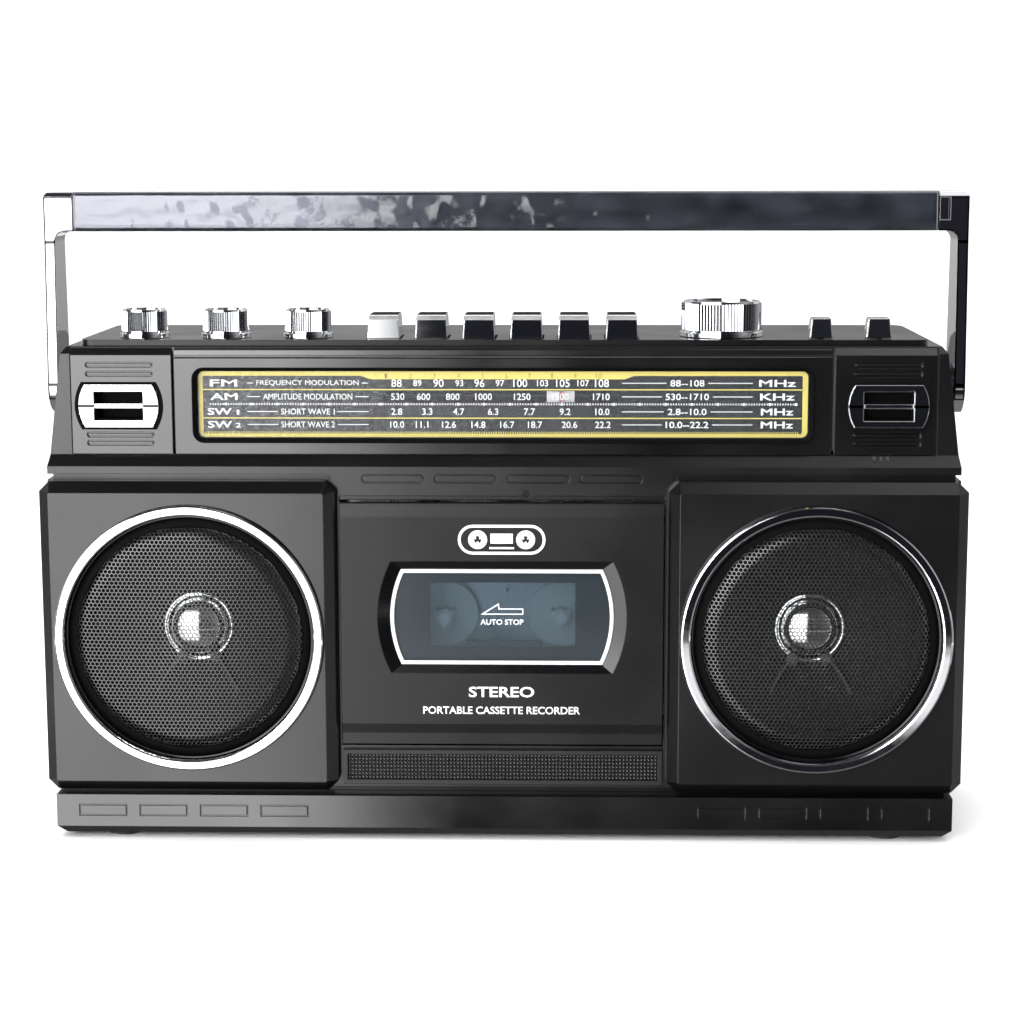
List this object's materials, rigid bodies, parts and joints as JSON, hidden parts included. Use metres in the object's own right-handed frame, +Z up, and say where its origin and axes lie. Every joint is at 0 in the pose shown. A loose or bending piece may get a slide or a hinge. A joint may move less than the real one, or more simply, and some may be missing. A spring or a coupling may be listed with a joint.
{
  "type": "radio cassette recorder",
  "caption": "Portable stereo radio cassette recorder with round speakers, front cassette door, piano keys, tuning dial and a swinging carrying handle.",
  "frame": {"origin": "middle of the footprint, on the surface that the feet stand on", "axes": "+Z up, the front with the speakers and the cassette door faces -Y, +X to the right as seen from the front"},
  "size_m": [0.339, 0.1, 0.234],
  "materials": {
    "black_plastic": "satin moulded",
    "dark_plastic": "fine moulded grain",
    "bright_plating": "bright plated",
    "black_mesh": "satin black",
    "pressed_steel": "zinc plated",
    "turned_steel": "turned bright",
    "cone_paper": "felted black",
    "dial_black": "gloss printed",
    "clear_plastic": "clear",
    "smoked_plastic": "lightly smoked",
    "pale_plastic": "moulded",
    "cord_fibre": "waxed",
    "brass_metal": "turned",
    "black_rubber": "matt",
    "board_laminate": "lacquered"
  },
  "bodies": {
    "cabinet": {"front_cabinet": "black_plastic", "rear_cabinet": "black_plastic", "base_tray": "black_plastic", "top_plate": "black_plastic", "speaker_panels": "black_plastic", "speaker_rings": "bright_plating", "speaker_grilles": "black_mesh", "speaker_drivers": "pressed_steel", "speaker_cones": "cone_paper", "dial_surround": "black_plastic", "dial_scale": "dial_black", "dial_window": "clear_plastic", "dial_cord": "cord_fibre", "tuning_capacitor": "pressed_steel", "corner_blocks": "black_plastic", "corner_bezels": "bright_plating", "vent_strip": "black_plastic", "microphone": "pressed_steel", "deck_chassis": "pressed_steel", "capstan_bush": "brass_metal", "drive_motor": "pressed_steel", "drive_belt": "black_rubber", "key_shaft": "turned_steel", "control_pots": "pressed_steel", "main_board": "board_laminate", "transformer": "pressed_steel", "battery_contacts": "turned_steel", "handle_pivots": "turned_steel", "cabinet_screws": "turned_steel", "rubber_feet": "black_rubber"},
    "door": {"door_panel": "black_plastic", "door_window": "smoked_plastic", "cassette_carrier": "dark_plastic"},
    "pointer": {"dial_pointer": "pale_plastic"},
    "drum": {"dial_drum": "pale_plastic"},
    "pulley": {"motor_pulley": "brass_metal"},
    "flywheel": {"flywheel": "turned_steel"},
    "supply": {"supply_reel": "pale_plastic"},
    "takeup": {"takeup_reel": "pale_plastic"},
    "heads": {"head_plate": "pressed_steel", "tape_heads": "turned_steel"},
    "pinch_arm": {"pinch_roller_arm": "pressed_steel"},
    "roller": {"pinch_roller": "black_rubber"},
    "key_record": {"record_key": "bright_plating"},
    "key_play": {"play_key": "bright_plating"},
    "key_rewind": {"rewind_key": "bright_plating"},
    "key_forward": {"forward_key": "bright_plating"},
    "key_stop": {"stop_key": "bright_plating"},
    "key_pause": {"pause_key": "bright_plating"},
    "volume": {"volume_knob": "bright_plating"},
    "tone": {"tone_knob": "bright_plating"},
    "balance": {"balance_knob": "bright_plating"},
    "tuning": {"tuning_knob": "bright_plating"},
    "function": {"function_switch_knob": "bright_plating"},
    "band": {"band_switch_knob": "bright_plating"},
    "cover": {"battery_cover": "black_plastic"},
    "handle": {"handle_bar": "bright_plating", "handle_arms": "bright_plating"},
    "mast_base": {"antenna_base": "turned_steel"},
    "mast": {"antenna_tubes": "turned_steel"}
  },
  "joints": [
    {"name": "handle_fold", "type": "hinge", "parent": "cabinet", "child": "handle", "pos_m": [0, 0, 0.1625], "axis": [-1, 0, 0], "range_deg": [0, 90]},
    {"name": "door_open", "type": "hinge", "parent": "cabinet", "child": "door", "pos_m": [0, -0.0375, 0.037], "axis": [1, 0, 0], "range_deg": [0, 30]},
    {"name": "record_press", "type": "hinge", "parent": "cabinet", "child": "key_record", "pos_m": [0, 0.016, 0.171], "axis": [1, 0, 0], "range_deg": [0, 7], "stiffness_Nm_per_rad": 1.2, "springref_deg": -8.59},
    {"name": "play_press", "type": "hinge", "parent": "cabinet", "child": "key_play", "pos_m": [0, 0.016, 0.171], "axis": [1, 0, 0], "range_deg": [0, 7], "stiffness_Nm_per_rad": 1.2, "springref_deg": -8.59},
    {"name": "rewind_press", "type": "hinge", "parent": "cabinet", "child": "key_rewind", "pos_m": [0, 0.016, 0.171], "axis": [1, 0, 0], "range_deg": [0, 7], "stiffness_Nm_per_rad": 1.2, "springref_deg": -8.59},
    {"name": "forward_press", "type": "hinge", "parent": "cabinet", "child": "key_forward", "pos_m": [0, 0.016, 0.171], "axis": [1, 0, 0], "range_deg": [0, 7], "stiffness_Nm_per_rad": 1.2, "springref_deg": -8.59},
    {"name": "stop_press", "type": "hinge", "parent": "cabinet", "child": "key_stop", "pos_m": [0, 0.016, 0.171], "axis": [1, 0, 0], "range_deg": [0, 7], "stiffness_Nm_per_rad": 1.2, "springref_deg": -8.59},
    {"name": "pause_press", "type": "hinge", "parent": "cabinet", "child": "key_pause", "pos_m": [0, 0.016, 0.171], "axis": [1, 0, 0], "range_deg": [0, 7], "stiffness_Nm_per_rad": 1.2, "springref_deg": -8.59},
    {"name": "head_advance", "type": "slide", "parent": "cabinet", "child": "heads", "axis": [0, 0, -1], "range_m": [0, 0.005]},
    {"name": "pinch_swing", "type": "hinge", "parent": "cabinet", "child": "pinch_arm", "pos_m": [-0.046, -0.029, 0.121], "axis": [0, 1, 0], "range_deg": [0, 20]},
    {"name": "roller_spin", "type": "hinge", "parent": "pinch_arm", "child": "roller", "pos_m": [-0.027, -0.0326, 0.1193], "axis": [0, 1, 0], "continuous": true},
    {"name": "flywheel_spin", "type": "hinge", "parent": "cabinet", "child": "flywheel", "pos_m": [-0.027, -0.016, 0.1065], "axis": [0, 1, 0], "continuous": true},
    {"name": "motor_spin", "type": "hinge", "parent": "cabinet", "child": "pulley", "pos_m": [0.034, -0.016, 0.062], "axis": [0, 1, 0], "continuous": true},
    {"name": "supply_spin", "type": "hinge", "parent": "cabinet", "child": "supply", "pos_m": [0.02125, -0.026, 0.08065], "axis": [0, 1, 0], "continuous": true},
    {"name": "takeup_spin", "type": "hinge", "parent": "cabinet", "child": "takeup", "pos_m": [-0.02125, -0.026, 0.08065], "axis": [0, 1, 0], "continuous": true},
    {"name": "volume_turn", "type": "hinge", "parent": "cabinet", "child": "volume", "pos_m": [-0.1309, -0.02, 0.187], "axis": [0, 0, -1], "range_deg": [-150, 150]},
    {"name": "tone_turn", "type": "hinge", "parent": "cabinet", "child": "tone", "pos_m": [-0.1011, -0.02, 0.187], "axis": [0, 0, -1], "range_deg": [-150, 150]},
    {"name": "balance_turn", "type": "hinge", "parent": "cabinet", "child": "balance", "pos_m": [-0.0711, -0.02, 0.187], "axis": [0, 0, -1], "range_deg": [-150, 150]},
    {"name": "tuning_turn", "type": "hinge", "parent": "cabinet", "child": "tuning", "pos_m": [0.0796, -0.0125, 0.188], "axis": [0, 0, -1], "range_deg": [-830.8, 194.8]},
    {"name": "pointer_travel", "type": "slide", "parent": "cabinet", "child": "pointer", "axis": [1, 0, 0], "range_m": [-0.0581, 0.0137]},
    {"name": "drum_turn", "type": "hinge", "parent": "cabinet", "child": "drum", "pos_m": [0.075, -0.025, 0.146], "axis": [0, 1, 0], "range_deg": [-140.52, 33.18]},
    {"name": "function_slide", "type": "slide", "parent": "cabinet", "child": "function", "axis": [0, 1, 0], "range_m": [0, 0.009]},
    {"name": "band_slide", "type": "slide", "parent": "cabinet", "child": "band", "axis": [0, 1, 0], "range_m": [0, 0.0135]},
    {"name": "cover_off", "type": "slide", "parent": "cabinet", "child": "cover", "axis": [0, 1, 0], "range_m": [0, 0.045]},
    {"name": "antenna_swing", "type": "hinge", "parent": "cabinet", "child": "mast_base", "pos_m": [-0.148, 0.0453, 0.172], "axis": [0, 0, 1], "range_deg": [0, 90]},
    {"name": "antenna_raise", "type": "hinge", "parent": "mast_base", "child": "mast", "pos_m": [-0.148, 0.0453, 0.175], "axis": [0, -1, 0], "range_deg": [0, 90]}
  ],
  "couplings": [
    {"joint": "head_advance", "follows": "play_press", "m_per_rad": 0.040926},
    {"joint": "pinch_swing", "follows": "play_press", "ratio": 2.8571},
    {"joint": "motor_spin", "follows": "flywheel_spin", "ratio": 6},
    {"joint": "pointer_travel", "follows": "tuning_turn", "m_per_rad": 0.004},
    {"joint": "drum_turn", "follows": "tuning_turn", "ratio": 0.16878}
  ]
}
